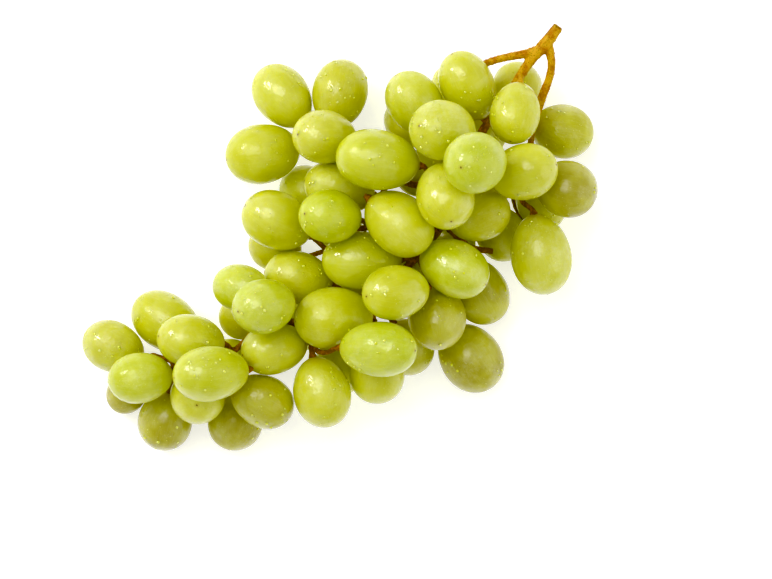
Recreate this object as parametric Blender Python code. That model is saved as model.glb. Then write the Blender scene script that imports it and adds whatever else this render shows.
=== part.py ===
"""A bunch of white grapes lying on a table: one branched woody stalk and the berries that grow on it.

The bunch lies along the XY plane with the table at z = 0, its cut stem end towards +X +Y and its tip
towards -X -Y. Lengths in the design tables are millimetres and angles are degrees.
"""
import math

import bpy
import bmesh
import numpy as np
from mathutils import Matrix, Vector

MM = 0.001

# ---------------------------------------------------------------- driving dimensions, in millimetres
GAP = 0.35            # clear space kept between two berries, or a berry and the stalk
PRESS = 0.30          # how far a berry's skin is flattened where it bears on the table
BERRY_SIDES = 10      # facets round a berry
BERRY_RINGS = 7       # facet rows from its stem end to its blossom end
TAPER = 0.07          # how much fuller a berry is towards its blossom end
PEDICEL_RADIUS = 0.90  # a berry's own short stem
COLLAR_RADIUS = 1.5   # the swelling where a short stem meets its berry
STEM_GAP = 0.30       # clear space kept between a stem and any berry
STEM_END_GAP = 0.30   # space between a short stem's collar and its own berry
LEAST_RADIUS = 0.45   # the thinnest a squeezed stem gets

# ---------------------------------------------------------------- the berries
# Each berry is listed with the place of its middle, its length and width, the compass heading of its
# stem end (0 = +X, 90 = +Y) and how steeply that end rises from level. The places are where the berries
# would like to be; the crowding of the bunch then moves each one a little (see settle).
BERRIES = [
    # name,                x,     y,    z, length, width, heading, rise
    # the tip of the bunch
    ("berry_tip_01", -75.6, -37.9, 11.5, 21.5, 17.0, -24, 2),
    ("berry_tip_02", -58.4, -28.8, 12, 25.7, 18.8, -35, 8),
    ("berry_tip_03", -65.6, -47.6, 26, 22.0, 17.0, 7, -10),
    ("berry_tip_04", -49.7, -35.0, 27, 23.6, 17.5, -8, -24),
    ("berry_tip_05", -42.8, -45.5, 41, 26.6, 18.5, 6, -25),
    ("berry_tip_06", -49.3, -52.4, 22, 24.0, 18.6, 90, -75),
    ("berry_tip_07", -70.8, -51.3, 7, 16.5, 13.5, 55, 15),
    ("berry_tip_08", -59.3, -60.4, 10, 20.5, 18.2, 80, 20),
    ("berry_tip_09", -34.5, -60.7, 9, 21.2, 18.6, 78, -8),
    ("berry_tip_10", -25.7, -52.6, 23, 22.3, 17.7, 155, 20),
    ("berry_tip_11", -20.6, -38.8, 26, 23.5, 17.0, 12, -25),
    ("berry_tip_12", -37.2, -40.3, 7, 15.5, 14.0, 20, 10),
    # the left side
    ("berry_left_01", -25.3, -22.8, 41, 23.4, 18.3, 12, -42),
    ("berry_left_02", -31.4, -17.0, 28, 20.0, 15.6, -10, 20),
    ("berry_left_03", -32.2, -27.6, 9, 18.0, 15.3, 0, 15),
    ("berry_left_04", -15.4, -13.4, 21, 23.5, 17.7, -10, -15),
    ("berry_left_05", -21.0, 5.0, 25, 25.0, 19.3, -25, -20),
    ("berry_left_06", -3.0, 6.5, 38, 24.0, 17.7, -5, -45),
    ("berry_left_07", -21.7, -4.0, 9, 18.5, 16.0, -20, 20),
    # the front
    ("berry_front_01", -2.8, -27.6, 30, 27.0, 20.7, 5, -20),
    ("berry_front_02", 7.0, -8.5, 29, 27.0, 19.3, 2, -12),
    ("berry_front_03", 18.4, -19.6, 44, 24.5, 18.2, 8, -36),
    ("berry_front_04", 12.3, -35.7, 43, 27.6, 18.4, 178, -28),
    ("berry_front_05", 12.3, -45.7, 23, 20.3, 18.4, 85, 20),
    ("berry_front_06", -7.3, -51.3, 26, 24.0, 19.2, 104, 5),
    ("berry_front_07", 0.5, -42.5, 9, 21.0, 18.0, 90, 30),
    ("berry_front_08", 22.3, -36.8, 9, 20.0, 17.6, 120, 25),
    # the right side
    ("berry_right_01", 34.6, 13.5, 49.5, 25.0, 19.3, 103, -45),
    ("berry_right_02", 20.4, 4.3, 39, 25.5, 20.0, 140, -10),
    ("berry_right_03", 37.3, -10.5, 34, 25.2, 18.7, 152, -20),
    ("berry_right_04", 32.7, -26.0, 25, 24.0, 19.5, 95, -40),
    ("berry_right_05", 46.0, -18.2, 14, 24.0, 19.0, 120, 20),
    ("berry_right_06", 43.5, -40.5, 10, 25.0, 20.6, 128, 5),
    ("berry_right_07", 45.4, 7.6, 28.5, 21.5, 18.0, 200, 5),
    ("berry_right_08", 54.0, 2.0, 9, 20.0, 17.0, 125, 15),
    ("berry_right_09", 38.5, -1.5, 8, 17.5, 15.5, 110, 10),
    ("berry_right_10", 66.8, -5.9, 26, 27.2, 20.3, 100, 5),
    ("berry_right_11", 65.6, 10.3, 9, 19.5, 15.5, 130, 15),
    ("berry_right_12", 75.3, 16.0, 27, 21.0, 19.0, 165, 0),
    ("berry_right_13", 74.3, 35.5, 11, 21.4, 18.2, 170, 15),
    # the stem end
    ("berry_neck_01", 44.1, 23.4, 61, 25.0, 20.2, 20, -65),
    ("berry_neck_02", 34.2, 34.8, 46, 25.3, 20.3, -10, -50),
    ("berry_neck_03", 60.7, 21.5, 40, 23.6, 18.7, 192, -20),
    ("berry_neck_04", 58.2, 40.9, 36, 22.0, 16.8, 80, -28),
    ("berry_neck_05", 41.7, 49.8, 28, 25.0, 17.8, -63, -20),
    ("berry_neck_06", 25.9, 44.4, 29, 24.0, 18.2, -55, -15),
    ("berry_neck_07", 39.2, 50.0, 8, 18.0, 15.8, -95, 8),
    ("berry_neck_08", 48.0, 34.3, 8, 16.5, 15.0, 230, 10),
    ("berry_neck_09", 24.3, 37.0, 9, 19.5, 16.5, -30, 10),
    ("berry_neck_10", 59.4, 49.7, 8, 18.6, 16.6, 278, 10),
    # the shoulder on the far side
    ("berry_shoulder_01", 12.5, 25.3, 42, 28.2, 20.2, -8, -8),
    ("berry_shoulder_02", -5.0, 32.2, 30, 24.0, 18.0, -4, -42),
    ("berry_shoulder_03", -25.5, 28.9, 17, 25.5, 20.0, 10, -15),
    ("berry_shoulder_04", -18.5, 46.2, 15, 23.6, 18.2, -52, 8),
    ("berry_shoulder_05", -1.5, 47.6, 17, 23.4, 18.6, 258, 8),
    ("berry_shoulder_06", -0.5, 17.0, 24, 24.5, 17.7, -12, -15),
    ("berry_shoulder_07", -10.8, 15.8, 8, 19.5, 16.5, -10, 8),
    ("berry_shoulder_08", 28.0, 23.0, 9, 20.0, 16.5, 200, 10),
]

# ---------------------------------------------------------------- the stalk
# The rachis and its side branches, each as a run of points x, y, z, radius.
BRANCHES = {
    "rachis": [(72.7, 70.2, 26, 1.75), (70.4, 66.8, 26, 2.1), (67.4, 63.2, 26, 2.2),
               (64.3, 60.0, 25.5, 1.9), (61.8, 56.4, 25, 1.65), (58.9, 51.8, 23.5, 1.55),
               (54.5, 45.0, 21, 1.5), (48.0, 36.2, 22, 1.5), (42.7, 25.5, 24, 1.5),
               (39.0, 15.5, 24, 1.5), (34.3, 4.8, 24, 1.5), (26.0, -6.2, 24, 1.4),
               (16.0, -15.2, 21, 1.4), (4.0, -22.2, 17.5, 1.3), (-7.3, -28.0, 17, 1.3),
               (-17.3, -28.5, 20, 1.2), (-27.0, -30.5, 20.5, 1.2), (-36.0, -38.5, 20, 1.1),
               (-47.0, -42.0, 20, 1.1), (-56.0, -41.5, 18.5, 1.0), (-63.0, -39.5, 17.5, 0.9)],
    "right": [(69.0, 64.4, 26, 1.8), (70.4, 59.0, 25.5, 1.4), (69.9, 53.5, 24.5, 1.35),
              (67.3, 46.5, 22.5, 1.5), (65.7, 40.5, 20, 1.2), (63.8, 33.2, 19, 1.1),
              (63.3, 25.5, 20, 1.1), (62.0, 17.2, 22, 1.1), (60.7, 11.5, 23, 1.1)],
    "left": [(66.0, 62.0, 26, 1.8), (61.7, 61.0, 25.3, 1.5), (56.0, 60.0, 24.5, 1.3),
             (48.3, 57.8, 21.5, 1.2), (43.3, 53.8, 16.5, 1.1), (37.0, 46.5, 18.0, 1.1),
             (33.0, 40.0, 20, 1.0)],
    "shoulder": [(39.0, 15.5, 24, 1.4), (30.0, 16.5, 21, 1.2), (21.0, 18.5, 18.5, 1.2),
                 (14.0, 24.0, 17, 1.1), (6.0, 29.0, 16.5, 1.1), (-2.0, 32.0, 16.5, 1.0),
                 (-7.0, 34.0, 16.5, 0.9)],
    "middle": [(26.0, -6.2, 24, 1.4), (19.5, 2.0, 19.5, 1.2), (10.0, 3.5, 17.5, 1.1),
               (2.0, 0.0, 17, 1.1), (-4.5, -4.5, 19, 1.0)],
    "front": [(26.0, -6.2, 24, 1.4), (28.5, -12.0, 19, 1.2), (28.5, -19.0, 12.5, 1.1),
              (30.0, -27.0, 10.5, 1.0)],
    "side": [(34.3, 4.8, 24, 1.4), (42.7, -3.2, 21, 1.1), (51.0, -4.8, 19.5, 1.0)],
}


def berry_axis(heading, rise):
    """Unit vector towards the stem end."""
    h, r = math.radians(heading), math.radians(rise)
    return np.array([math.cos(r) * math.cos(h), math.cos(r) * math.sin(h), math.sin(r)])


def girth(t):
    """Radius at t along a berry (-1 blossom end, 1 stem end), as a share of half its width."""
    return np.sqrt(np.maximum(0.0, 1 - t * t)) * (1 - TAPER * t)


def sphere_directions(count=1200):
    """Unit vectors spread over a half sphere on a golden-angle spiral, followed by their opposites."""
    k = np.arange(count) + 0.5
    z = k / count
    a = k * math.pi * (3 - math.sqrt(5))
    r = np.sqrt(1 - z * z)
    half = np.stack([r * np.cos(a), r * np.sin(a), z], axis=1)
    return np.concatenate([half, -half])


DIRECTIONS = sphere_directions()
PROFILE_T = np.linspace(-1, 1, 61)


def berry_reach(length, width, axis, directions):
    """How far a berry's skin reaches from its middle in each direction."""
    s = directions @ axis
    side = np.sqrt(np.maximum(0.0, 1 - s * s))
    along = 0.5 * length * PROFILE_T
    across = 0.5 * width * girth(PROFILE_T)
    return (s[:, None] * along + side[:, None] * across).max(axis=1)


def rounded_path(points, step=3.0):
    """A smooth run of points, about a step apart, through the listed ones (Catmull-Rom)."""
    p = np.array(points, dtype=float)
    p = np.vstack([2 * p[0] - p[1], p, 2 * p[-1] - p[-2]])
    out = []
    for a, b, c, d in zip(p, p[1:], p[2:], p[3:]):
        count = max(1, round(float(np.linalg.norm(c[:3] - b[:3])) / step))
        for i in range(count):
            t = i / count
            out.append(0.5 * (2 * b + (c - a) * t + (2 * a - 5 * b + 4 * c - d) * t * t
                              + (3 * b - a - 3 * c + d) * t ** 3))
    out.append(p[-2])
    return np.array(out)


def settle(berries, branches, sweeps=500):
    """Lets the berries crowd together: any two, or a berry and a branch, that would touch move apart.

    They move more readily up and down than sideways, and none sinks into the table.
    Returns the middles and the axes of the berries, and the tightest gap left, in millimetres.
    """
    axes = [berry_axis(row[6], row[7]) for row in berries]
    places = np.array([row[1:4] for row in berries], dtype=float)
    reaches = [berry_reach(row[4], row[5], axis, DIRECTIONS) for row, axis in zip(berries, axes)]
    down = np.array([[0.0, 0.0, -1.0]])
    floor = np.array([berry_reach(row[4], row[5], axis, down)[0] for row, axis in zip(berries, axes)])
    count = len(berries)
    fixed_places, fixed_reaches = [], []
    for path in branches:
        for p, q in zip(path, path[1:]):
            middle = 0.5 * (p[:3] + q[:3])
            half = np.abs(DIRECTIONS @ (0.5 * (q[:3] - p[:3])))
            fixed_places.append(middle)
            fixed_reaches.append(half + 0.5 * (p[3] + q[3]))
    everything = np.vstack([places, np.array(fixed_places)])
    tables = np.array(reaches + fixed_reaches)
    opposite = np.roll(np.arange(len(DIRECTIONS)), len(DIRECTIONS) // 2)
    ease = np.array([0.3, 0.3, 1.0])
    near = []
    for sweep in range(sweeps):
        everything[:count, 2] = np.maximum(everything[:count, 2], floor - PRESS)
        if sweep % 25 == 0:
            near = [(i, j) for i in range(count) for j in range(i + 1, len(everything))
                    if np.linalg.norm(everything[i] - everything[j]) < 30]
            first = np.array([i for i, j in near])
            second = np.array([j for i, j in near])
            both = tables[first] + tables[second][:, opposite]
        apart = (everything[second] - everything[first]) @ DIRECTIONS.T - both
        best = apart.argmax(axis=1)
        clear = apart[np.arange(len(near)), best]
        short = np.maximum(0.0, GAP + 0.02 - clear)
        if sweep > 25 and short.max() < 0.02:
            break
        push = DIRECTIONS[best] * ease
        push *= (0.5 * short / (push * DIRECTIONS[best]).sum(axis=1))[:, None]
        move = np.zeros_like(everything)
        np.add.at(move, first, -push)
        np.add.at(move, second, push)
        everything[:count] += 0.7 * move[:count]
    everything[:count, 2] = np.maximum(everything[:count, 2], floor - PRESS)
    apart = (everything[second] - everything[first]) @ DIRECTIONS.T - both
    return everything[:count], axes, apart.max(axis=1).min()


def room(point, middles, reaches):
    """Clear distance from a point to the nearest berry, negative inside one."""
    near = np.flatnonzero(np.linalg.norm(middles - point, axis=1) < 22)
    if not len(near):
        return 9.0
    return float(((point - middles[near]) @ DIRECTIONS.T - reaches[near]).max(axis=1).min())


def push_out(point, margin, middles, axes, sizes):
    """Moves a point to at least a margin outside every berry, along the shortest way out of each."""
    offsets = point - middles
    along = (offsets * axes).sum(axis=1)
    side = offsets - along[:, None] * axes
    off = np.linalg.norm(side, axis=1)
    t = np.clip(along / (0.5 * sizes[:, 0]), -1, 1)
    half_width = 0.5 * sizes[:, 1] * (1 - TAPER * t) + margin
    half_length = 0.5 * sizes[:, 0] + margin
    level = np.sqrt((along / half_length) ** 2 + (off / half_width) ** 2)
    move = np.zeros(3)
    for i in np.flatnonzero(level < 1):
        out = axes[i] * along[i] / half_length[i] ** 2 + side[i] / half_width[i] ** 2
        size = float(np.linalg.norm(out))
        if size > 1e-6:
            move += out / size * (1 - level[i]) * half_width[i]
    return point + move


def pedicel_path(start, pole, axis, middles, axes, sizes):
    """A short stem's run of points from a branch to its berry, threaded between the berries."""
    end = pole + axis * STEM_END_GAP
    collar = end + axis * 1.3
    count = max(3, round(float(np.linalg.norm(collar - start)) / 2.4))
    lean = min(6.0, 0.5 * float(np.linalg.norm(collar - start)))
    t = np.linspace(0, 1, count + 1)[:, None]
    run = ((1 - t) ** 2 * start + 2 * t * (1 - t) * (collar + axis * lean) + t * t * collar)
    for sweep in range(160):
        for i in range(1, count):
            run[i] += 0.4 * (0.5 * (run[i - 1] + run[i + 1]) - run[i])
            run[i] = push_out(run[i], PEDICEL_RADIUS + STEM_GAP, middles, axes, sizes)
            run[i, 2] = max(run[i, 2], PEDICEL_RADIUS + 0.5)
    return np.vstack([run, end])


def tube(mesh, path, radii, sides):
    """Adds a closed tube with flat ends along a run of points to a mesh."""
    points = [Vector(p) for p in path]
    heading = (points[1] - points[0]).normalized()
    across = heading.orthogonal().normalized()
    rings = []
    for i, point in enumerate(points):
        ahead = (points[min(i + 1, len(points) - 1)] - points[max(i - 1, 0)]).normalized()
        across = (across - ahead * across.dot(ahead)).normalized()
        beside = ahead.cross(across)
        ring = []
        for k in range(sides):
            a = 2 * math.pi * k / sides
            out = across * math.cos(a) + beside * math.sin(a)
            ring.append(mesh.verts.new(point + out * float(radii[i])))
        rings.append(ring)
    for low, high in zip(rings, rings[1:]):
        for k in range(sides):
            mesh.faces.new([low[k], low[(k + 1) % sides], high[(k + 1) % sides], high[k]])
    mesh.faces.new(list(reversed(rings[0])))
    mesh.faces.new(rings[-1])


def stalk_runs(branches, middles, axes, sizes, reaches):
    """Every run of the stalk as (points, radii, sides): the branches, then one short stem per berry."""
    runs = [(path[:, :3], path[:, 3], 6) for path in branches]
    nodes = np.vstack([path[2:] for path in branches])
    for i, (middle, axis) in enumerate(zip(middles, axes)):
        pole = middle + axis * 0.5 * sizes[i, 0]
        collar = pole + axis * 1.6
        costs = []
        for node in nodes:
            steps = collar + (node[:3] - collar) * np.linspace(0, 1, 9)[:, None]
            blocked = sum(max(0.0, PEDICEL_RADIUS - room(p, middles, reaches)) for p in steps[1:])
            costs.append(float(np.linalg.norm(node[:3] - collar)) + 1.2 * blocked)
        start = nodes[int(np.argmin(costs)), :3]
        run = pedicel_path(start, pole, axis, middles, axes, sizes)
        others = np.arange(len(middles)) != i
        radii = []
        for k, point in enumerate(run):
            if k == 0:
                radii.append(PEDICEL_RADIUS)
            elif k == len(run) - 1:
                radii.append(min(COLLAR_RADIUS, room(point, middles[others], reaches[others]) - STEM_GAP))
            else:
                radii.append(min(PEDICEL_RADIUS, room(point, middles, reaches) - STEM_GAP))
        runs.append((run, np.array(radii), 5))
    return runs


def berry_mesh(name, length, width, middle, axis, on_table):
    """One berry: an egg shape, narrower towards its stem end, flattened where it bears on the table."""
    mesh = bmesh.new()
    along = Vector(axis)
    across = along.cross(Vector((0, 0, 1))).normalized()
    beside = across.cross(along)
    half_length, half_width = 0.5 * length, 0.5 * width
    stem_end = mesh.verts.new(along * half_length)
    rings = []
    for row in range(1, BERRY_RINGS):
        t = math.cos(math.pi * row / BERRY_RINGS)
        radius = half_width * float(girth(np.array(t)))
        ring = []
        for k in range(BERRY_SIDES):
            a = 2 * math.pi * (k + 0.5 * (row % 2)) / BERRY_SIDES
            ring.append(mesh.verts.new(along * (half_length * t)
                                       + (across * math.cos(a) + beside * math.sin(a)) * radius))
        rings.append(ring)
    blossom_end = mesh.verts.new(-along * half_length)
    for k in range(BERRY_SIDES):
        after = (k + 1) % BERRY_SIDES
        mesh.faces.new([stem_end, rings[0][k], rings[0][after]])
        mesh.faces.new([blossom_end, rings[-1][after], rings[-1][k]])
    for row, (low, high) in enumerate(zip(rings, rings[1:]), start=1):
        for k in range(BERRY_SIDES):
            after = (k + 1) % BERRY_SIDES
            if row % 2:
                mesh.faces.new([low[k], high[after], low[after]])
                mesh.faces.new([low[k], high[k], high[after]])
            else:
                mesh.faces.new([low[k], high[k], low[after]])
                mesh.faces.new([high[k], high[after], low[after]])
    bmesh.ops.translate(mesh, verts=mesh.verts, vec=Vector(middle))
    if on_table:
        lowest = min(v.co.z for v in mesh.verts)
        bmesh.ops.translate(mesh, verts=mesh.verts, vec=Vector((0, 0, -lowest - PRESS)))
        everything = list(mesh.verts) + list(mesh.edges) + list(mesh.faces)
        cut = bmesh.ops.bisect_plane(mesh, geom=everything, plane_co=(0, 0, 0), plane_no=(0, 0, 1),
                                     clear_inner=True)
        rim = [e for e in cut["geom_cut"] if isinstance(e, bmesh.types.BMEdge)]
        bmesh.ops.contextual_create(mesh, geom=rim)
    return mesh


def finish(mesh, name, material, origin, smooth=True):
    """Turns a mesh in millimetres into a named object in metres, about the bunch's own origin."""
    bmesh.ops.recalc_face_normals(mesh, faces=mesh.faces)
    place = Matrix.Scale(MM, 4) @ Matrix.Translation(-Vector(origin))
    bmesh.ops.transform(mesh, matrix=place, verts=mesh.verts)
    for face in mesh.faces:
        face.smooth = smooth
    data = bpy.data.meshes.new(name)
    mesh.to_mesh(data)
    mesh.free()
    data.materials.append(material)
    body = bpy.data.objects.new(name, data)
    bpy.context.scene.collection.objects.link(body)
    return body


def material(name, colour, roughness):
    """A plain surface colour."""
    made = bpy.data.materials.new(name)
    made.use_nodes = True
    shader = made.node_tree.nodes["Principled BSDF"]
    shader.inputs["Base Color"].default_value = (*colour, 1.0)
    shader.inputs["Roughness"].default_value = roughness
    shader.inputs["Metallic"].default_value = 0.0
    return made


def grown_stalk(runs, wood, origin):
    """The whole stalk as one body: every branch and short stem united with the rachis."""
    trunk = bmesh.new()
    tube(trunk, *runs[0])
    twigs = bmesh.new()
    for run in runs[1:]:
        tube(twigs, *run)
    stalk = finish(trunk, "stalk", wood, origin)
    cutter = finish(twigs, "stalk_twigs", wood, origin)
    cutter.hide_render = True
    cutter.display_type = "WIRE"
    union = stalk.modifiers.new("grow", "BOOLEAN")
    union.operation = "UNION"
    union.solver = "EXACT"
    union.use_self = True
    union.object = cutter
    bpy.context.view_layer.update()
    grown = bpy.data.meshes.new_from_object(stalk.evaluated_get(bpy.context.evaluated_depsgraph_get()))
    stalk.modifiers.clear()
    stalk.data = grown
    bpy.data.objects.remove(cutter)
    mesh = bmesh.new()
    mesh.from_mesh(grown)
    bmesh.ops.remove_doubles(mesh, verts=mesh.verts, dist=0.000001)
    for face in mesh.faces:
        face.smooth = True
    mesh.to_mesh(grown)
    mesh.free()
    return stalk


def build():
    """Makes the bunch."""
    for old in list(bpy.data.objects):
        bpy.data.objects.remove(old)
    paths = [rounded_path(points) for points in BRANCHES.values()]
    middles, axes, tightest = settle(BERRIES, paths)
    axes = np.array(axes)
    sizes = np.array([row[4:6] for row in BERRIES])
    reaches = np.array([berry_reach(row[4], row[5], axis, DIRECTIONS) for row, axis in zip(BERRIES, axes)])
    print(f"{len(BERRIES)} berries, {tightest:.2f} mm at the tightest")
    skin = material("grape_skin", (0.53, 0.60, 0.10), 0.35)
    wood = material("stalk_wood", (0.40, 0.21, 0.06), 0.65)
    runs = stalk_runs(paths, middles, axes, sizes, reaches)
    for row, run in zip(BERRIES, runs[len(paths):]):
        if run[1].min() < LEAST_RADIUS:
            print(f"the stem of {row[0]} is squeezed to {run[1].min():.2f} mm")
    down = np.array([[0.0, 0.0, -1.0]])
    meshes = []
    for row, middle, axis in zip(BERRIES, middles, axes):
        bottom = middle[2] - berry_reach(row[4], row[5], axis, down)[0]
        meshes.append(berry_mesh(row[0], row[4], row[5], middle, axis, bottom < -0.9 * PRESS))
    corners = np.array([v.co for mesh in meshes for v in mesh.verts]
                       + [p + np.array([dx, dy, 0]) * 1.9 for p in runs[0][0][:1]
                          for dx in (-0.5, 0.87) for dy in (-0.5, 0.87)])
    low, high = corners.min(axis=0), corners.max(axis=0)
    origin = (0.5 * (low[0] + high[0]), 0.5 * (low[1] + high[1]), 0.0)
    grown_stalk(runs, wood, origin)
    for row, mesh in zip(BERRIES, meshes):
        finish(mesh, row[0], skin, origin)


build()
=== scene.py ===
# %% [markdown]
# # A bunch of white grapes lying on a pale table
#
# This lesson dresses a finished set of solids as a real bunch of grapes. The solids come first and
# are never moved: one branched stalk and fifty-eight faceted berries. Each cell below makes one kind
# of thing, says what it is on the real fruit, and why it is made the way it is.

# %% Load the frame and keep its box
import math

import bmesh
import bpy
import numpy as np
from mathutils import Matrix, Vector
from mathutils.bvhtree import BVHTree


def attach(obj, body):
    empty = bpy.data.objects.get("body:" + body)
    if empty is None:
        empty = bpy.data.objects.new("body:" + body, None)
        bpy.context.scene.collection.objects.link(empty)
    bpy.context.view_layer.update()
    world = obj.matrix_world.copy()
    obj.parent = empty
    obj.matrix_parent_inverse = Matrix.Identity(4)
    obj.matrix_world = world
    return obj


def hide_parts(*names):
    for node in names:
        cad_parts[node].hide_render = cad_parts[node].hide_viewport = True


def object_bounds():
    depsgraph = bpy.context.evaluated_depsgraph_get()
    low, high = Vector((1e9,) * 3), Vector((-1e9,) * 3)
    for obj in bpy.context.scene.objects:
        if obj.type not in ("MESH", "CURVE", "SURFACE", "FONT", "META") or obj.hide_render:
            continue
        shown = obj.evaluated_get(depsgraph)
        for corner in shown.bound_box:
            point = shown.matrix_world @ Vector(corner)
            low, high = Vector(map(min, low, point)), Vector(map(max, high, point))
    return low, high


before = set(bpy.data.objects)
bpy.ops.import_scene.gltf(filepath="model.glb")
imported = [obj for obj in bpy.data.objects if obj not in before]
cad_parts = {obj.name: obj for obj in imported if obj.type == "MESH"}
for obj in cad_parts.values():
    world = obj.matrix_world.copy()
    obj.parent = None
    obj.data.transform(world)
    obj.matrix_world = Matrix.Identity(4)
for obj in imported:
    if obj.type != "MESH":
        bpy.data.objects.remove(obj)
cad_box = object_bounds()
MM = 0.001
berry_nodes = sorted(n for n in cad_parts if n.startswith("berry_"))
print("berries in the frame:", len(berry_nodes))


# %% [markdown]
# ## Reading each berry
#
# A grape is an egg: widest a little towards its free end, with the short stem at the other end. The
# faceted solid already says where both ends are, because they are its two corners that lie furthest
# apart. The end that is nearer the stalk is the stem end. So nothing has to be fitted by hand.

# %% Measure the eggs
TAPER = 0.07  # how much fuller the free end is


def merged_copy(node):
    """The node's mesh with its loose triangles joined, as a bmesh."""
    joined = bmesh.new()
    joined.from_mesh(node.data)
    bmesh.ops.remove_doubles(joined, verts=joined.verts, dist=1e-6)
    return joined


stalk_copy = merged_copy(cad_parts["stalk"])
stalk_tree = BVHTree.FromBMesh(stalk_copy)


def read_egg(name):
    """Middle, axis towards the stem, length and width of one berry, in metres."""
    joined = merged_copy(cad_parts[name])
    spots = [v.co.copy() for v in joined.verts]
    joined.free()
    pairs = ((a, b) for i, a in enumerate(spots) for b in spots[:i])
    a, b = max(pairs, key=lambda pair: (pair[0] - pair[1]).length)
    if stalk_tree.find_nearest(a)[3] > stalk_tree.find_nearest(b)[3]:
        a, b = b, a
    middle, axis, length = (a + b) / 2, (a - b).normalized(), (a - b).length
    width = 0.0
    for spot in spots:
        t = (spot - middle).dot(axis) / (length / 2)
        if abs(t) < 0.8:
            off = (spot - middle) - axis * (spot - middle).dot(axis)
            width = max(width, 2 * off.length / (math.sqrt(1 - t * t) * (1 - TAPER * t)))
    return {"name": name.replace("berry", "grape"), "node": name, "middle": middle,
            "axis": axis, "length": length, "width": width}


eggs = [read_egg(name) for name in berry_nodes]
print("widths mm:", round(min(e["width"] for e in eggs) / MM, 1), "to",
      round(max(e["width"] for e in eggs) / MM, 1))


# %% [markdown]
# ## Berries deep in the heap
#
# A heap of grapes is full right through: small berries fill the pockets under the big ones, where
# nobody sees them from above, and without them the bunch looks hollow from the side. Their places
# follow a rule. Every spot on a fine grid that is roofed by other berries is tested for the largest
# ball that fits there, the roomiest spot is taken first, and the ball is drawn out into an egg in
# whichever direction has room.

# %% Find the pockets
GRID = 2.0 * MM
SMALLEST = 6.0 * MM     # least half width worth filling
LARGEST = 8.6 * MM      # greatest half width of an inner berry
CLEAR = 0.35 * MM       # space kept to its neighbours

heap = bmesh.new()
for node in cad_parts.values():
    heap.from_mesh(node.data)
heap_tree = BVHTree.FromBMesh(heap)
heap.free()
UP = Vector((0, 0, 1))


def room_at(spot):
    """Distance from spot to the nearest solid or the table; below zero inside a solid."""
    near, normal, _, distance = heap_tree.find_nearest(spot)
    inside = (spot - near).dot(normal) < 0
    return -distance if inside else min(distance, spot.z)


def roofed(spot, radius):
    """True where berries cover the whole of a ball at spot from above."""
    for step in range(12):
        turn = 2 * math.pi * step / 12
        edge = Vector((math.cos(turn), math.sin(turn), 0)) * radius * 0.92
        if heap_tree.ray_cast(spot + edge, UP)[0] is None:
            return False
    return True


low, high = cad_box
pockets = []
for x in np.arange(low.x, high.x, GRID):
    for y in np.arange(low.y, high.y, GRID):
        for z in np.arange(SMALLEST, high.z, GRID):
            spot = Vector((float(x), float(y), float(z)))
            radius = min(room_at(spot) - CLEAR, LARGEST)
            if radius >= SMALLEST and roofed(spot, radius):
                pockets.append((round(radius / MM, 3), spot))
pockets.sort(key=lambda pocket: (-pocket[0], tuple(pocket[1])))
print("open spots:", len(pockets))


# %% Draw each pocket's ball out into an egg
def on_egg(middle, axis, length, width):
    """Points spread over an egg's skin."""
    side = axis.orthogonal().normalized()
    other = axis.cross(side)
    for t in (-1, -0.85, -0.6, -0.3, 0, 0.3, 0.6, 0.85, 1):
        ring = width / 2 * math.sqrt(max(0, 1 - t * t)) * (1 - TAPER * t)
        for step in range(10):
            turn = 2 * math.pi * step / 10
            yield middle + axis * (t * length / 2) + (side * math.cos(turn) + other * math.sin(turn)) * ring


def inside_egg(spot, egg, extra):
    """True where spot is nearer than extra to the inside of an egg."""
    along = (spot - egg["middle"]).dot(egg["axis"])
    t = along / (egg["length"] / 2 + extra)
    if abs(t) >= 1:
        return False
    off = ((spot - egg["middle"]) - egg["axis"] * along).length
    return off < (egg["width"] / 2 * (1 - TAPER * t) + extra) * math.sqrt(1 - t * t)


def egg_fits(middle, axis, length, width, others):
    """True where an egg is roofed and clears the solids, the table and the other inner berries."""
    for spot in on_egg(middle, axis, length, width):
        if room_at(spot) < CLEAR or heap_tree.ray_cast(spot, UP)[0] is None:
            return False
        if any(inside_egg(spot, other, CLEAR) for other in others):
            return False
    return True


LEANS = [Vector(v).normalized() for v in (
    (1, 0, 0), (0, 1, 0), (1, 1, 0), (1, -1, 0), (1, 0, 0.5), (0, 1, 0.5),
    (1, 0, -0.5), (0, 1, -0.5), (1, 1, 0.6), (1, -1, 0.6), (1, 1, -0.6), (1, -1, -0.6))]
inner = []
for radius, spot in pockets:
    radius *= MM
    if any((spot - egg["middle"]).length < radius + egg["width"] / 2 for egg in inner):
        continue
    best = None
    for lean in LEANS:
        for stretch in (1.35, 1.28, 1.2, 1.12, 1.05):
            if best and stretch <= best[0]:
                break
            if egg_fits(spot, lean, 2 * radius * stretch, 2 * radius, inner):
                best = (stretch, lean)
                break
    if best is None:
        continue
    axis = best[1]
    ends = [spot + axis * radius * best[0] * s for s in (1, -1)]
    if stalk_tree.find_nearest(ends[0])[3] > stalk_tree.find_nearest(ends[1])[3]:
        axis = -axis
    inner.append({"name": f"grape_inner_{len(inner) + 1:02d}", "node": None, "middle": spot,
                  "axis": axis, "length": 2 * radius * best[0], "width": 2 * radius})
print("inner berries:", len(inner))


# %% [markdown]
# ## A small kit for node trees
#
# The same few calls build every tree here, for shapes and for finishes. Each value can be a plain
# number or the socket of another node, so that a formula reads almost as it would on paper.

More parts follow.
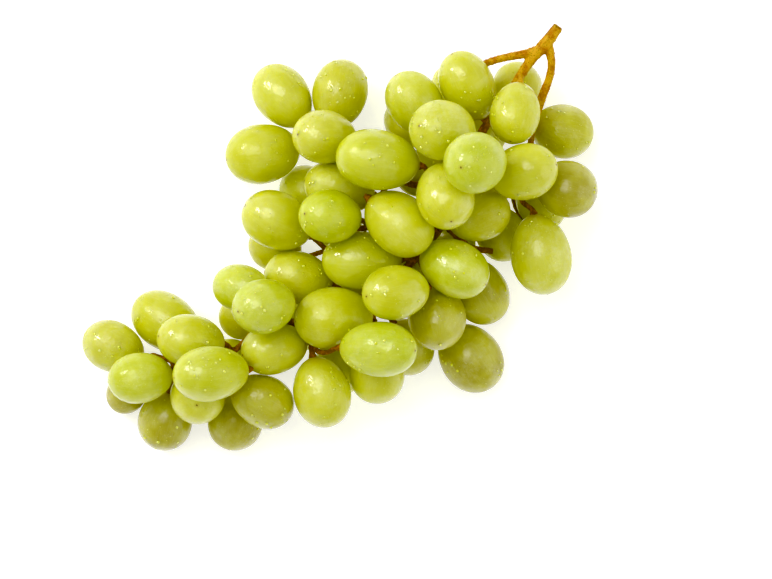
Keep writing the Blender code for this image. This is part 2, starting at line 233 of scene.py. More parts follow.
# %% Node helpers
def put(tree, kind, ins=(), **settings):
    """Adds a node. ins gives its inputs by name or number, as values or sockets."""
    made = tree.nodes.new(kind)
    for key, value in settings.items():
        setattr(made, key, value)
    for key, value in dict(ins).items():
        socket = made.inputs[key]
        if isinstance(value, bpy.types.NodeSocket):
            tree.links.new(value, socket)
        else:
            socket.default_value = value
    return made


def calc(tree, operation, *values, clamp=False):
    """One step of arithmetic."""
    return put(tree, "ShaderNodeMath", dict(enumerate(values)), operation=operation,
               use_clamp=clamp).outputs[0]


def vector(tree, operation, *values):
    """One step of vector arithmetic."""
    ins = {(3 if operation == "SCALE" and i == 1 else i): v for i, v in enumerate(values)}
    made = put(tree, "ShaderNodeVectorMath", ins, operation=operation)
    return made.outputs["Value" if operation in ("LENGTH", "DOT_PRODUCT", "DISTANCE") else "Vector"]


def ease(tree, value, start, end, low=0.0, high=1.0):
    """low where value is at start, high where it is at end, easing between them."""
    return put(tree, "ShaderNodeMapRange", {0: value, 1: start, 2: end, 3: low, 4: high},
               interpolation_type="SMOOTHSTEP").outputs[0]


def shape_tree(name, sockets):
    """A new Geometry Nodes tree with named inputs; returns it with its input node."""
    tree = bpy.data.node_groups.new(name, "GeometryNodeTree")
    tree.interface.new_socket("Geometry", in_out="INPUT", socket_type="NodeSocketGeometry")
    for label, kind in sockets.items():
        tree.interface.new_socket(label, in_out="INPUT", socket_type="NodeSocket" + kind)
    tree.interface.new_socket("Geometry", in_out="OUTPUT", socket_type="NodeSocketGeometry")
    return tree, tree.nodes.new("NodeGroupInput").outputs


def store(tree, geometry, name, kind, value):
    """Keeps a value on every point, under a name that the finish can read."""
    return put(tree, "GeometryNodeStoreNamedAttribute",
               {"Geometry": geometry, "Name": name, "Value": value},
               data_type=kind, domain="POINT").outputs[0]


def end_tree(tree, geometry, material):
    """Makes instances real, gives the material and closes the tree."""
    real = put(tree, "GeometryNodeRealizeInstances", {0: geometry}).outputs[0]
    dressed = put(tree, "GeometryNodeSetMaterial", {"Geometry": real, "Material": material}).outputs[0]
    put(tree, "NodeGroupOutput", {0: dressed})


def grow(name, tree, values, start=None):
    """Runs a tree on a mesh and returns the plain mesh that comes out."""
    host = bpy.data.objects.new(name, start or bpy.data.meshes.new(name))
    bpy.context.scene.collection.objects.link(host)
    modifier = host.modifiers.new("shape", "NODES")
    modifier.node_group = tree
    for socket in tree.interface.items_tree:
        if socket.name in values:
            modifier[socket.identifier] = values[socket.name]
    host.update_tag()
    ready = host.evaluated_get(bpy.context.evaluated_depsgraph_get())
    mesh = bpy.data.meshes.new_from_object(ready)
    bpy.data.objects.remove(host)
    mesh.name = name
    return mesh


def stand(name, mesh):
    """Puts a finished mesh in the scene as a piece at the origin."""
    piece = bpy.data.objects.new(name, mesh)
    bpy.context.scene.collection.objects.link(piece)
    return piece


# %% [markdown]
# ## The finish of the skin
#
# White grape skin is thin and slightly cloudy, and most of what the eye reads as its colour is light
# that has wandered through the flesh. So the shader scatters light under the surface, and the drawing
# sits on top of that: pale strands that run from end to end under the skin, a fine dusty bloom, tiny
# brown pores, a warmer tint round the stem and the dry brown dot that the flower left at the free end.
# A clear coat stands for the film of water, which is thick in some patches and nearly gone in others.
# Every pattern reads values that the berry's own mesh carries, so it turns and travels with the berry.

# %% Skin material
def read(tree, name, output="Fac"):
    """A value that the mesh carries."""
    return put(tree, "ShaderNodeAttribute", attribute_name=name).outputs[output]


def tint(tree, amount, base, other, blend="MIX"):
    """Two colours mixed by an amount."""
    made = put(tree, "ShaderNodeMix", {0: amount, 6: base, 7: other}, data_type="RGBA", blend_type=blend)
    return made.outputs[2]


def cloud(tree, place, scale, detail=2.0, rough=0.5):
    """Soft noise, from about 0.25 to 0.75."""
    return put(tree, "ShaderNodeTexNoise",
               {"Vector": place, "Scale": scale, "Detail": detail, "Roughness": rough}).outputs[0]


def new_finish(name):
    """An empty material; returns it, its tree and its shader."""
    material = bpy.data.materials.new(name)
    material.use_nodes = True
    tree = material.node_tree
    return material, tree, tree.nodes["Principled BSDF"]


skin, nt, shader = new_finish("grape_skin")
place = read(nt, "skin_place", "Vector")
meridian = read(nt, "meridian", "Vector")
along = read(nt, "along")
off_axis = read(nt, "off_axis")
ripeness_and_shade = read(nt, "ripeness_and_shade")

# This value blends the flesh towards a dark amber; for berries low in the heap part of that is painted shade.
young = tint(nt, ease(nt, ripeness_and_shade, 0.0, 0.35), (0.525, 0.590, 0.020, 1), (0.605, 0.610, 0.026, 1))
flesh = tint(nt, ease(nt, ripeness_and_shade, 0.35, 1.0), young, (0.39, 0.345, 0.004, 1))
patch = ease(nt, cloud(nt, place, 0.11), 0.35, 0.65)
flesh = tint(nt, calc(nt, "MULTIPLY", patch, 0.35), flesh, (0.72, 0.75, 0.150, 1))
strand = calc(nt, "ABSOLUTE", calc(nt, "SUBTRACT", cloud(nt, meridian, 5.0, 3.0), 0.5))
strand = ease(nt, strand, 0.0, 0.035, 1.0, 0.0)
flesh = tint(nt, calc(nt, "MULTIPLY", strand, 0.08), flesh, (0.82, 0.86, 0.40, 1))
stem_end = calc(nt, "MULTIPLY", ease(nt, off_axis, 1.5, 6.0, 1.0, 0.0), ease(nt, along, 0.0, 0.5))
flesh = tint(nt, calc(nt, "MULTIPLY", stem_end, 0.45), flesh, (0.52, 0.34, 0.020, 1))
print("flesh colours set")

# %% Bloom, pores and the flower scar
rubbed = ease(nt, cloud(nt, place, 0.17, 3.0), 0.38, 0.62)
dust = ease(nt, cloud(nt, place, 2.2, 3.0, 0.7), 0.40, 0.68)
mottle = ease(nt, cloud(nt, place, 0.62, 4.0, 0.6), 0.40, 0.66)
fine = calc(nt, "ADD", calc(nt, "MULTIPLY", dust, 0.45), calc(nt, "MULTIPLY", mottle, 0.50))
coverage = calc(nt, "ADD", calc(nt, "MULTIPLY", rubbed, 0.8), 0.2)
bloom = calc(nt, "MULTIPLY", coverage, calc(nt, "ADD", fine, 0.3))
bloom = calc(nt, "MULTIPLY", bloom, read(nt, "dustiness"))
colour = tint(nt, calc(nt, "MULTIPLY", bloom, 0.16), flesh, (0.86, 0.88, 0.60, 1))
flecks = put(nt, "ShaderNodeTexVoronoi", {"Vector": place, "Scale": 0.75, "Randomness": 1.0})
fleck = ease(nt, flecks.outputs["Distance"], 0.07, 0.14, 1.0, 0.0)
fleck = calc(nt, "MULTIPLY", fleck, ease(nt, cloud(nt, place, 0.24), 0.42, 0.60))
colour = tint(nt, calc(nt, "MULTIPLY", fleck, 0.55), colour, (0.88, 0.90, 0.42, 1))
pores = put(nt, "ShaderNodeTexVoronoi", {"Vector": place, "Scale": 0.30, "Randomness": 1.0})
pore_chance = put(nt, "ShaderNodeSeparateColor", {0: pores.outputs["Color"]}).outputs[0]
pore_size = calc(nt, "MULTIPLY", calc(nt, "SUBTRACT", pore_chance, 0.74), 0.24)
pore = ease(nt, calc(nt, "SUBTRACT", pores.outputs["Distance"], pore_size), -0.030, 0.004, 1.0, 0.0)
colour = tint(nt, calc(nt, "MULTIPLY", pore, 0.75), colour, (0.16, 0.085, 0.012, 1))
fray = calc(nt, "MULTIPLY", calc(nt, "SUBTRACT", cloud(nt, place, 1.6), 0.5), 0.6)
ragged = calc(nt, "ADD", off_axis, fray)
free_end = ease(nt, along, -0.6, -0.8)
scar = calc(nt, "MULTIPLY", ease(nt, ragged, 0.22, 0.42, 1.0, 0.0), free_end)
halo = calc(nt, "MULTIPLY", ease(nt, ragged, 0.4, 1.3, 1.0, 0.0), free_end)
colour = tint(nt, calc(nt, "MULTIPLY", halo, 0.35), colour, (0.44, 0.33, 0.04, 1))
colour = tint(nt, calc(nt, "MULTIPLY", scar, 0.92), colour, (0.12, 0.060, 0.018, 1))
nt.links.new(colour, shader.inputs["Base Color"])

# %% Gloss and relief of the skin
gloss = calc(nt, "ADD", 0.44, calc(nt, "MULTIPLY", bloom, 0.16))
gloss = calc(nt, "ADD", gloss, calc(nt, "MULTIPLY", scar, 0.3))
nt.links.new(gloss, shader.inputs["Roughness"])
grain = calc(nt, "MULTIPLY", cloud(nt, place, 0.55, 4.0, 0.55), 0.24)
ripple = calc(nt, "MULTIPLY", cloud(nt, place, 0.28, 2.0), 0.26)
relief = calc(nt, "ADD", grain, ripple)
relief = calc(nt, "ADD", relief, calc(nt, "MULTIPLY", fleck, 0.03))
relief = calc(nt, "SUBTRACT", relief, calc(nt, "MULTIPLY", pore, 0.02))
bump = put(nt, "ShaderNodeBump", {"Height": relief, "Distance": MM, "Strength": 0.8})
nt.links.new(bump.outputs[0], shader.inputs["Normal"])
nt.links.new(bump.outputs[0], shader.inputs["Coat Normal"])
shader.inputs["IOR"].default_value = 1.5
shader.inputs["Specular IOR Level"].default_value = 1.0
shader.inputs["Subsurface Weight"].default_value = 1.0
shader.inputs["Subsurface Radius"].default_value = (1.0, 0.9, 0.15)
shader.inputs["Subsurface Scale"].default_value = 0.006
wet = ease(nt, cloud(nt, place, 0.10), 0.42, 0.56, 0.35, 1.0)
nt.links.new(wet, shader.inputs["Coat Weight"])
shader.inputs["Coat Roughness"].default_value = 0.08
shader.inputs["Coat IOR"].default_value = 1.55
print("skin nodes:", len(nt.nodes))


# %% [markdown]
# ## The shape of one grape
#
# One Geometry Nodes tree makes every berry from a few sizes. It takes a ball of rings and segments,
# draws its rings closer together towards the ends, where the small features are, and then lays each
# ring at the width that the egg has there. The stem end rises in a low lip to meet its collar, the
# free end keeps the nub of the flower, and a little noise takes the perfect roundness away.

# %% Berry tree
CLOSER = 0.62  # how strongly the rings gather at the two ends
berry_tree, ins = shape_tree("grape", {
    "Length": "Float", "Width": "Float", "Taper": "Float", "Seed": "Float", "Unevenness": "Float",
    "Lip Height": "Float", "Lip Radius": "Float", "Nub Height": "Float", "Nub Radius": "Float",
    "Ripeness And Shade": "Float", "Dustiness": "Float", "Segments": "Int", "Rings": "Int", "Skin": "Material"})
bt = berry_tree
ball = put(bt, "GeometryNodeMeshUVSphere",
           {"Segments": ins["Segments"], "Rings": ins["Rings"], "Radius": 1.0}).outputs["Mesh"]
here = put(bt, "ShaderNodeSeparateXYZ", {0: put(bt, "GeometryNodeInputPosition").outputs[0]})
polar = calc(bt, "ARCCOSINE", calc(bt, "MINIMUM", calc(bt, "MAXIMUM", here.outputs[2], -1.0), 1.0))
polar = calc(bt, "SUBTRACT", polar, calc(bt, "MULTIPLY", calc(bt, "SINE", calc(bt, "MULTIPLY", polar, 2.0)),
                                         CLOSER / 2))
t = calc(bt, "COSINE", polar)
round_way = calc(bt, "ARCTAN2", here.outputs[1], here.outputs[0])
way_x, way_y = calc(bt, "COSINE", round_way), calc(bt, "SINE", round_way)
ring = calc(bt, "MULTIPLY", calc(bt, "SINE", polar), calc(bt, "MULTIPLY", ins["Width"], 0.5))
ring = calc(bt, "MULTIPLY", ring, calc(bt, "SUBTRACT", 1.0, calc(bt, "MULTIPLY", ins["Taper"], t)))
rise = calc(bt, "MULTIPLY", t, calc(bt, "MULTIPLY", ins["Length"], 0.5))


def spot_on_ring(width, height):
    """A point on the ring, as a vector."""
    return put(bt, "ShaderNodeCombineXYZ",
               {0: calc(bt, "MULTIPLY", way_x, width), 1: calc(bt, "MULTIPLY", way_y, width),
                2: height}).outputs[0]


smooth_spot = spot_on_ring(ring, rise)
lump = put(bt, "ShaderNodeTexNoise", {"Vector": smooth_spot, "W": ins["Seed"], "Scale": 75.0, "Detail": 1.0},
           noise_dimensions="4D").outputs[0]
lump = calc(bt, "MULTIPLY", calc(bt, "SUBTRACT", lump, 0.5), ins["Unevenness"])
uneven_ring = calc(bt, "MULTIPLY", ring, calc(bt, "ADD", 1.0, lump))
lip = ease(bt, calc(bt, "DIVIDE", ring, ins["Lip Radius"]), 0.4, 1.0, 1.0, 0.0)
lip = calc(bt, "MULTIPLY", lip, calc(bt, "MULTIPLY", ins["Lip Height"], calc(bt, "GREATER_THAN", t, 0.0)))
nub = ease(bt, calc(bt, "DIVIDE", ring, ins["Nub Radius"]), 0.3, 1.0, 1.0, 0.0)
nub = calc(bt, "MULTIPLY", nub, calc(bt, "MULTIPLY", ins["Nub Height"], calc(bt, "LESS_THAN", t, 0.0)))
final_rise = calc(bt, "SUBTRACT", calc(bt, "ADD", rise, lip), nub)
shaped = put(bt, "GeometryNodeSetPosition",
             {"Geometry": ball, "Position": spot_on_ring(uneven_ring, final_rise)}).outputs[0]
print("berry tree nodes so far:", len(bt.nodes))

# %% Values that the skin reads, and the end of the tree
to_mm = vector(bt, "SCALE", smooth_spot, 1000.0)
drift = calc(bt, "MULTIPLY", ins["Seed"], 37.0)
kept = {"skin_place": ("FLOAT_VECTOR", vector(bt, "ADD", to_mm, drift)),
        "meridian": ("FLOAT_VECTOR", put(bt, "ShaderNodeCombineXYZ", {
            0: calc(bt, "ADD", way_x, drift), 1: way_y, 2: calc(bt, "MULTIPLY", t, 0.12)}).outputs[0]),
        "along": ("FLOAT", t),
        "off_axis": ("FLOAT", calc(bt, "MULTIPLY", ring, 1000.0)),
        "ripeness_and_shade": ("FLOAT", ins["Ripeness And Shade"]),
        "dustiness": ("FLOAT", ins["Dustiness"])}
# The values are kept before the ball is reshaped, because they are worked out from its round form.
carried = ball
for label, (kind, value) in kept.items():
    carried = store(bt, carried, label, kind, value)
bt.links.new(carried, shaped.node.inputs["Geometry"])
soft = put(bt, "GeometryNodeSetShadeSmooth", {"Geometry": shaped}).outputs[0]
end_tree(bt, soft, ins["Skin"])


# %% [markdown]
# ## Placing the grapes
#
# Each berry is grown upright in the tree and then turned onto its own axis. The turn is made in the
# mesh, so every finished piece sits at the origin. Where a berry bears on the table its skin is
# pressed flat, as a full grape's is. Berries low in the heap are painted darker and more amber, as
# painted shade under the heap, and ten berries listed by name lean further towards amber. The rest
# is chance, from a fixed seed.

# %% Grow and place every berry
chance = np.random.default_rng(11)
# Ten berries listed by name that are pushed further towards the dark amber flesh.
AMBER_LISTED = {"grape_tip_07", "grape_tip_08", "grape_tip_09", "grape_tip_10", "grape_right_04", "grape_right_05",
          "grape_right_06", "grape_right_07", "grape_right_12", "grape_front_08"}


def ripeness_and_shade_of(egg):
    """0 for a fresh green berry, 1 for an amber one; berries low in the heap get more, as painted shade."""
    # The lower a berry sits, the further it is pushed towards dark amber: painted shade under the heap.
    depth = 1 - min(max((egg["middle"].z - 8 * MM) / (34 * MM), 0), 1)
    amber_push = 0.40 if egg["name"] in AMBER_LISTED else 0.0
    return float(min(max(0.17 + 0.28 * depth + amber_push + chance.normal(0, 0.15), 0), 1))


def make_grape(egg, number):
    """One berry as a piece of its own."""
    mesh = grow(egg["name"], berry_tree, {
        "Length": egg["length"], "Width": egg["width"], "Taper": TAPER, "Seed": float(number),
        "Unevenness": 0.05, "Lip Height": 0.32 * MM, "Lip Radius": 1.9 * MM,
        "Nub Height": 0.14 * MM, "Nub Radius": 0.55 * MM, "Ripeness And Shade": ripeness_and_shade_of(egg),
        "Dustiness": float(chance.uniform(0.5, 1.6)),
        "Segments": 44, "Rings": 36, "Skin": skin})
    turn = egg["axis"].to_track_quat("Z", "Y").to_matrix().to_4x4()
    roll = Matrix.Rotation(float(chance.uniform(0, 2 * math.pi)), 4, "Z")
    mesh.transform(Matrix.Translation(egg["middle"]) @ turn @ roll)
    for vertex in mesh.vertices:
        vertex.co.z = max(vertex.co.z, 0.0)
    piece = stand(egg["name"], mesh)
    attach(piece, "root")
    if egg["node"]:
        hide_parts(egg["node"])
    return piece


grapes = [make_grape(egg, number) for number, egg in enumerate(eggs + inner)]
print("grapes:", len(grapes), "with", sum(len(g.data.polygons) for g in grapes), "faces")


# %% [markdown]
# ## Dew
#
# Rinsed grapes carry fine drops that catch the light as sparks. They repeat by the thousand, so a tree
# scatters them: points fall at random on skin that faces up, in patches where the water gathered, and
# each one gets a low dome that is turned to the skin and has only a few dozen faces.

# %% Dew finish and dew tree
dew, nt, shader = new_finish("dew")
spot = vector(nt, "SCALE", put(nt, "ShaderNodeTexCoord").outputs["Object"], 1000.0)
drop_colour = tint(nt, ease(nt, cloud(nt, spot, 0.10), 0.4, 0.6),
                   (0.76, 0.80, 0.12, 1), (0.83, 0.86, 0.24, 1))
nt.links.new(drop_colour, shader.inputs["Base Color"])
nt.links.new(ease(nt, cloud(nt, spot, 0.30), 0.4, 0.6, 0.03, 0.08), shader.inputs["Roughness"])
shader.inputs["IOR"].default_value = 1.5
shader.inputs["Specular IOR Level"].default_value = 1.0
shader.inputs["Subsurface Weight"].default_value = 0.8
shader.inputs["Subsurface Radius"].default_value = (1.0, 0.9, 0.3)
shader.inputs["Subsurface Scale"].default_value = 0.0008

dew_tree, ins = shape_tree("dew", {
    "Drops Per Square Metre": "Float", "Least Radius": "Float", "Most Radius": "Float", "Flatness": "Float",
    "Patch Scale": "Float", "Seed": "Int", "Water": "Material"})
dt = dew_tree
up_share = put(dt, "ShaderNodeSeparateXYZ", {0: put(dt, "GeometryNodeInputNormal").outputs[0]}).outputs[2]
patches = put(dt, "ShaderNodeTexNoise", {
    "Vector": put(dt, "GeometryNodeInputPosition").outputs[0], "Scale": ins["Patch Scale"],
    "Detail": 2.0}).outputs[0]
wet = calc(dt, "MULTIPLY", ease(dt, patches, 0.44, 0.60), ease(dt, up_share, 0.15, 0.45))
drops = put(dt, "GeometryNodeDistributePointsOnFaces", {
    "Mesh": ins["Geometry"], "Density": calc(dt, "MULTIPLY", wet, ins["Drops Per Square Metre"]),
    "Seed": ins["Seed"]})
size = calc(dt, "POWER", put(dt, "FunctionNodeRandomValue", {2: 0.0, 3: 1.0, "Seed": ins["Seed"]},
                             data_type="FLOAT").outputs[1], 3.0)
size = calc(dt, "ADD", ins["Least Radius"], calc(
    dt, "MULTIPLY", size, calc(dt, "SUBTRACT", ins["Most Radius"], ins["Least Radius"])))
dome = put(dt, "GeometryNodeMeshUVSphere", {"Segments": 8, "Rings": 5, "Radius": 1.0}).outputs["Mesh"]
shape = put(dt, "ShaderNodeCombineXYZ", {0: size, 1: size, 2: calc(dt, "MULTIPLY", size, ins["Flatness"])})
stood = put(dt, "GeometryNodeInstanceOnPoints", {
    "Points": drops.outputs["Points"], "Instance": dome, "Rotation": drops.outputs["Rotation"],
    "Scale": shape.outputs[0]}).outputs[0]
end_tree(dt, put(dt, "GeometryNodeSetShadeSmooth", {"Geometry": stood}).outputs[0], ins["Water"])

# %% Scatter the dew
skins = bmesh.new()
for piece in grapes[:len(eggs)]:
    skins.from_mesh(piece.data)
all_skins = bpy.data.meshes.new("all_skins")
skins.to_mesh(all_skins)
skins.free()
dew_mesh = grow("dew_drops", dew_tree, {
    "Drops Per Square Metre": 170000.0, "Least Radius": 0.12 * MM, "Most Radius": 0.65 * MM, "Flatness": 0.6,
    "Patch Scale": 70.0, "Seed": 5, "Water": dew}, start=all_skins)
dew_piece = stand("dew_drops", dew_mesh)
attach(dew_piece, "root")
print("dew faces:", len(dew_mesh.polygons))


# %% [markdown]
# ## The finish of the stalk
#
# A ripe bunch hangs on a woody stalk. Its outer arms are ochre with orange patches and fine dark
# specks, and deep in the heap the short stems are painted dark red brown: partly their own colour,
# partly painted shade under the berries. Fibres run along every arm. The bark tree below keeps, for
# each point, which way it faces round its arm, and a pattern drawn on that direction stretches along
# the arm by itself.

# %% Wood material
wood, nt, shader = new_finish("stalk_wood")
spot = vector(nt, "SCALE", put(nt, "ShaderNodeTexCoord").outputs["Object"], 1000.0)
facing = read(nt, "facing", "Vector")
inward_tint_and_shade = read(nt, "inward_tint_and_shade")
sawn = read(nt, "sawn")
bark = tint(nt, ease(nt, cloud(nt, spot, 0.35, 3.0), 0.42, 0.60),
            (0.70, 0.40, 0.050, 1), (0.50, 0.16, 0.022, 1))
fibre_place = vector(nt, "ADD", vector(nt, "SCALE", facing, 3.2), vector(nt, "SCALE", spot, 0.12))
fibre = ease(nt, cloud(nt, fibre_place, 1.6, 4.0, 0.6), 0.35, 0.68)
bark = tint(nt, calc(nt, "MULTIPLY", fibre, 0.35), bark, (0.80, 0.52, 0.080, 1))
# Far from the cut end the bark turns dark red brown: partly the stems' own colour, partly painted shade deep
# in the heap.
deep_wood_and_shade = tint(nt, ease(nt, cloud(nt, spot, 0.8, 3.0), 0.42, 0.66),
                (0.13, 0.024, 0.010, 1), (0.42, 0.13, 0.045, 1))
bark = tint(nt, calc(nt, "MULTIPLY", inward_tint_and_shade, 0.92), bark, deep_wood_and_shade)
speck = ease(nt, cloud(nt, spot, 2.0, 3.0, 0.6), 0.55, 0.66)
bark = tint(nt, calc(nt, "MULTIPLY", speck, 0.55), bark, (0.12, 0.040, 0.008, 1))
pale = ease(nt, cloud(nt, vector(nt, "ADD", spot, (40.0, 40.0, 40.0)), 1.9, 2.0, 0.6), 0.63, 0.70)
pale = calc(nt, "MULTIPLY", pale, calc(nt, "SUBTRACT", 1.0, inward_tint_and_shade))
bark = tint(nt, calc(nt, "MULTIPLY", pale, 0.40), bark, (0.78, 0.58, 0.20, 1))
cut_face = tint(nt, ease(nt, cloud(nt, spot, 2.8, 3.0), 0.4, 0.6),
                (0.86, 0.62, 0.20, 1), (0.70, 0.42, 0.10, 1))
bark = tint(nt, calc(nt, "MULTIPLY", read(nt, "cut_rim"), 0.85), bark, (0.16, 0.040, 0.012, 1))
bark = tint(nt, sawn, bark, cut_face)
nt.links.new(bark, shader.inputs["Base Color"])
nt.links.new(calc(nt, "ADD", 0.48, calc(nt, "MULTIPLY", speck, 0.25)), shader.inputs["Roughness"])
relief = calc(nt, "ADD", calc(nt, "MULTIPLY", fibre, 0.10),
              calc(nt, "MULTIPLY", cloud(nt, spot, 3.0, 3.0), 0.10))
bump = put(nt, "ShaderNodeBump", {"Height": relief, "Distance": MM, "Strength": 0.9})
nt.links.new(bump.outputs[0], shader.inputs["Normal"])
shader.inputs["Specular IOR Level"].default_value = 0.35
shader.inputs["Subsurface Weight"].default_value = 0.10
shader.inputs["Subsurface Radius"].default_value = (1.0, 0.5, 0.2)
shader.inputs["Subsurface Scale"].default_value = 0.001
print("wood nodes:", len(nt.nodes))


# %% [markdown]
# ## The stalk's collars
#
# Every short stem ends in a flared, warty collar that holds the berry. They repeat eighty times, so a
# tree places them: one flared cap is made once and stood on a point at each berry's stem end, turned
# to the berry's axis.

# %% Collar tree
collar_tree, ins = shape_tree("collars", {
    "Berry Radius": "Float", "Stem Radius": "Float", "Height": "Float", "Bark": "Material"})
ct = collar_tree
cap = put(ct, "GeometryNodeMeshCone", {
    "Vertices": 16, "Side Segments": 2, "Fill Segments": 1, "Radius Top": ins["Stem Radius"],
    "Radius Bottom": ins["Berry Radius"], "Depth": ins["Height"]}).outputs["Mesh"]
out_way = put(ct, "GeometryNodeInputNamedAttribute", {"Name": "out_way"}, data_type="FLOAT_VECTOR").outputs[0]
turned = put(ct, "FunctionNodeAlignRotationToVector", {"Vector": out_way}, axis="Z").outputs[0]
caps = put(ct, "GeometryNodeInstanceOnPoints", {
    "Points": ins["Geometry"], "Instance": cap, "Rotation": turned}).outputs[0]
end_tree(ct, caps, ins["Bark"])

ends = bpy.data.meshes.new("stem_ends")
everyone = eggs + inner
ends.from_pydata([e["middle"] + e["axis"] * (e["length"] / 2 - 0.15 * MM) for e in everyone], [], [])
ways = ends.attributes.new("out_way", "FLOAT_VECTOR", "POINT")
ways.data.foreach_set("vector", np.array([tuple(e["axis"]) for e in everyone], np.float32).ravel())
collars = grow("collars", collar_tree, {
    "Berry Radius": 1.55 * MM, "Stem Radius": 0.95 * MM, "Height": 1.1 * MM, "Bark": wood}, start=ends)
print("collar faces:", len(collars.polygons))


# %% [markdown]
# ## Short stems for the inner berries
#
# Each inner berry hangs on a stem too. A stem starts as a straight run from the berry to the nearest
# place on the stalk, and is then eased like a string: points that come too near a berry are pushed
# off it, and the string is drawn smooth again, many times over.

# %% Route the inner stems
STEM_STEPS = 9
STEM_RADIUS = 0.9 * MM
others = bmesh.new()
for name in berry_nodes:
    others.from_mesh(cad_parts[name].data)
berry_bvh = BVHTree.FromBMesh(others)
others.free()


def stem_route(egg):
    """Points from an inner berry's stem end to the stalk."""
    start = egg["middle"] + egg["axis"] * (egg["length"] / 2 + 0.4 * MM)
    goal, normal, _, _ = stalk_tree.find_nearest(start)
    goal = goal - normal * 0.8 * MM
    route = [start.lerp(goal, step / (STEM_STEPS - 1)) for step in range(STEM_STEPS)]
    for _ in range(60):
        for i in range(1, STEM_STEPS - 1):
            route[i] = route[i].lerp((route[i - 1] + route[i + 1]) / 2, 0.5)
            near, face, _, gap = berry_bvh.find_nearest(route[i])
            if (route[i] - near).dot(face) < 0:
                gap = -gap
            if gap < STEM_RADIUS + 0.2 * MM:
                route[i] = route[i] + face * (STEM_RADIUS + 0.2 * MM - gap) * 0.8
    return route


def tube(target, route, radius):
    """Adds a round tube along a route to a bmesh, closed at both ends."""
    sides = 12
    rings = []
    for i, spot in enumerate(route):
        ahead = (route[min(i + 1, len(route) - 1)] - route[max(i - 1, 0)]).normalized()
        side = ahead.orthogonal().normalized() if i == 0 else (side - ahead * side.dot(ahead)).normalized()
        across = ahead.cross(side)
        rings.append([target.verts.new(spot + (side * math.cos(a) + across * math.sin(a)) * radius)
                      for a in (2 * math.pi * k / sides for k in range(sides))])
    for one, two in zip(rings, rings[1:]):
        for k in range(sides):
            target.faces.new((one[k], one[(k + 1) % sides], two[(k + 1) % sides], two[k]))
    target.faces.new(reversed(rings[0]))
    target.faces.new(rings[-1])


stalk_copy.from_mesh(collars)
for egg in inner:
    tube(stalk_copy, stem_route(egg), STEM_RADIUS)
print("inner stems:", len(inner))


# %% [markdown]
# ## The stalk in one skin
#
# The arms, collars and inner stems overlap where they meet. A voxel remesh takes the outside of all
# of them as one closed surface, with soft fillets at every fork, as grown wood has. The bark tree
# then swells it back to size and raises long fibres and small warts along the surface.

# %% Remesh, then raise the bark
VOXEL = 0.38 * MM
rough = bpy.data.meshes.new("stalk_rough")
stalk_copy.to_mesh(rough)
stalk_copy.free()
host = stand("stalk_rough", rough)
remesh = host.modifiers.new("one skin", "REMESH")
remesh.mode = "VOXEL"
remesh.voxel_size = VOXEL
relax = host.modifiers.new("soften", "SMOOTH")
relax.factor, relax.iterations = 0.5, 3
whole = bpy.data.meshes.new_from_object(host.evaluated_get(bpy.context.evaluated_depsgraph_get()))
bpy.data.objects.remove(host)
print("stalk faces:", len(whole.polygons))

# %% Bark tree
bark_tree, ins = shape_tree("bark", {
    "Swell": "Float", "Fibre Height": "Float", "Wart Height": "Float", "Seed": "Float",
    "Cut End": "Vector", "Cut Way": "Vector", "Bark": "Material"})
kt = bark_tree
normal = put(kt, "GeometryNodeInputNormal").outputs[0]
where = put(kt, "GeometryNodeInputPosition").outputs[0]
from_cut = vector(kt, "SUBTRACT", where, ins["Cut End"])
near_cut = calc(kt, "LESS_THAN", vector(kt, "LENGTH", from_cut), 4.0 * MM)
facing_cut = ease(kt, vector(kt, "DOT_PRODUCT", normal, ins["Cut Way"]), 0.55, 0.8)
cut_mask = calc(kt, "MULTIPLY", near_cut, facing_cut)
rim_side = ease(kt, vector(kt, "DOT_PRODUCT", normal, ins["Cut Way"]), 0.12, 0.35)
cut_rim = calc(kt, "MULTIPLY", calc(kt, "MULTIPLY", near_cut, rim_side),
               calc(kt, "SUBTRACT", 1.0, facing_cut))
drift = put(kt, "ShaderNodeTexNoise", {"Vector": where, "Scale": 90.0}).outputs[0]
# Points far from the cut end lie deep in the heap; the finish paints them darker, partly as painted shade.
reach = calc(kt, "ADD", vector(kt, "LENGTH", from_cut), calc(kt, "MULTIPLY", drift, 16 * MM))
deep = ease(kt, reach, 30 * MM, 52 * MM)
barked = ins["Geometry"]
for label, kind, value in (("facing", "FLOAT_VECTOR", normal), ("inward_tint_and_shade", "FLOAT", deep),
                           ("sawn", "FLOAT", cut_mask), ("cut_rim", "FLOAT", cut_rim)):
    barked = store(kt, barked, label, kind, value)
kept_facing = put(kt, "GeometryNodeInputNamedAttribute", {"Name": "facing"},
                  data_type="FLOAT_VECTOR").outputs[0]
fibre_spot = vector(kt, "ADD", vector(kt, "SCALE", kept_facing, 2.6), vector(kt, "SCALE", where, 90.0))
fibres = put(kt, "ShaderNodeTexNoise", {"Vector": fibre_spot, "W": ins["Seed"], "Scale": 1.5, "Detail": 3.0},
             noise_dimensions="4D").outputs[0]
warts = put(kt, "ShaderNodeTexNoise", {"Vector": where, "W": ins["Seed"], "Scale": 900.0, "Detail": 2.0},
            noise_dimensions="4D").outputs[0]
height = calc(kt, "ADD", calc(kt, "MULTIPLY", calc(kt, "SUBTRACT", fibres, 0.5), ins["Fibre Height"]),
              calc(kt, "MULTIPLY", ease(kt, warts, 0.56, 0.70), ins["Wart Height"]))
height = calc(kt, "ADD", height, ins["Swell"])
lifted = put(kt, "GeometryNodeSetPosition", {
    "Geometry": barked, "Offset": vector(kt, "SCALE", normal, height)}).outputs[0]
smooth = put(kt, "GeometryNodeSetShadeSmooth", {"Geometry": lifted}).outputs[0]
end_tree(kt, smooth, ins["Bark"])

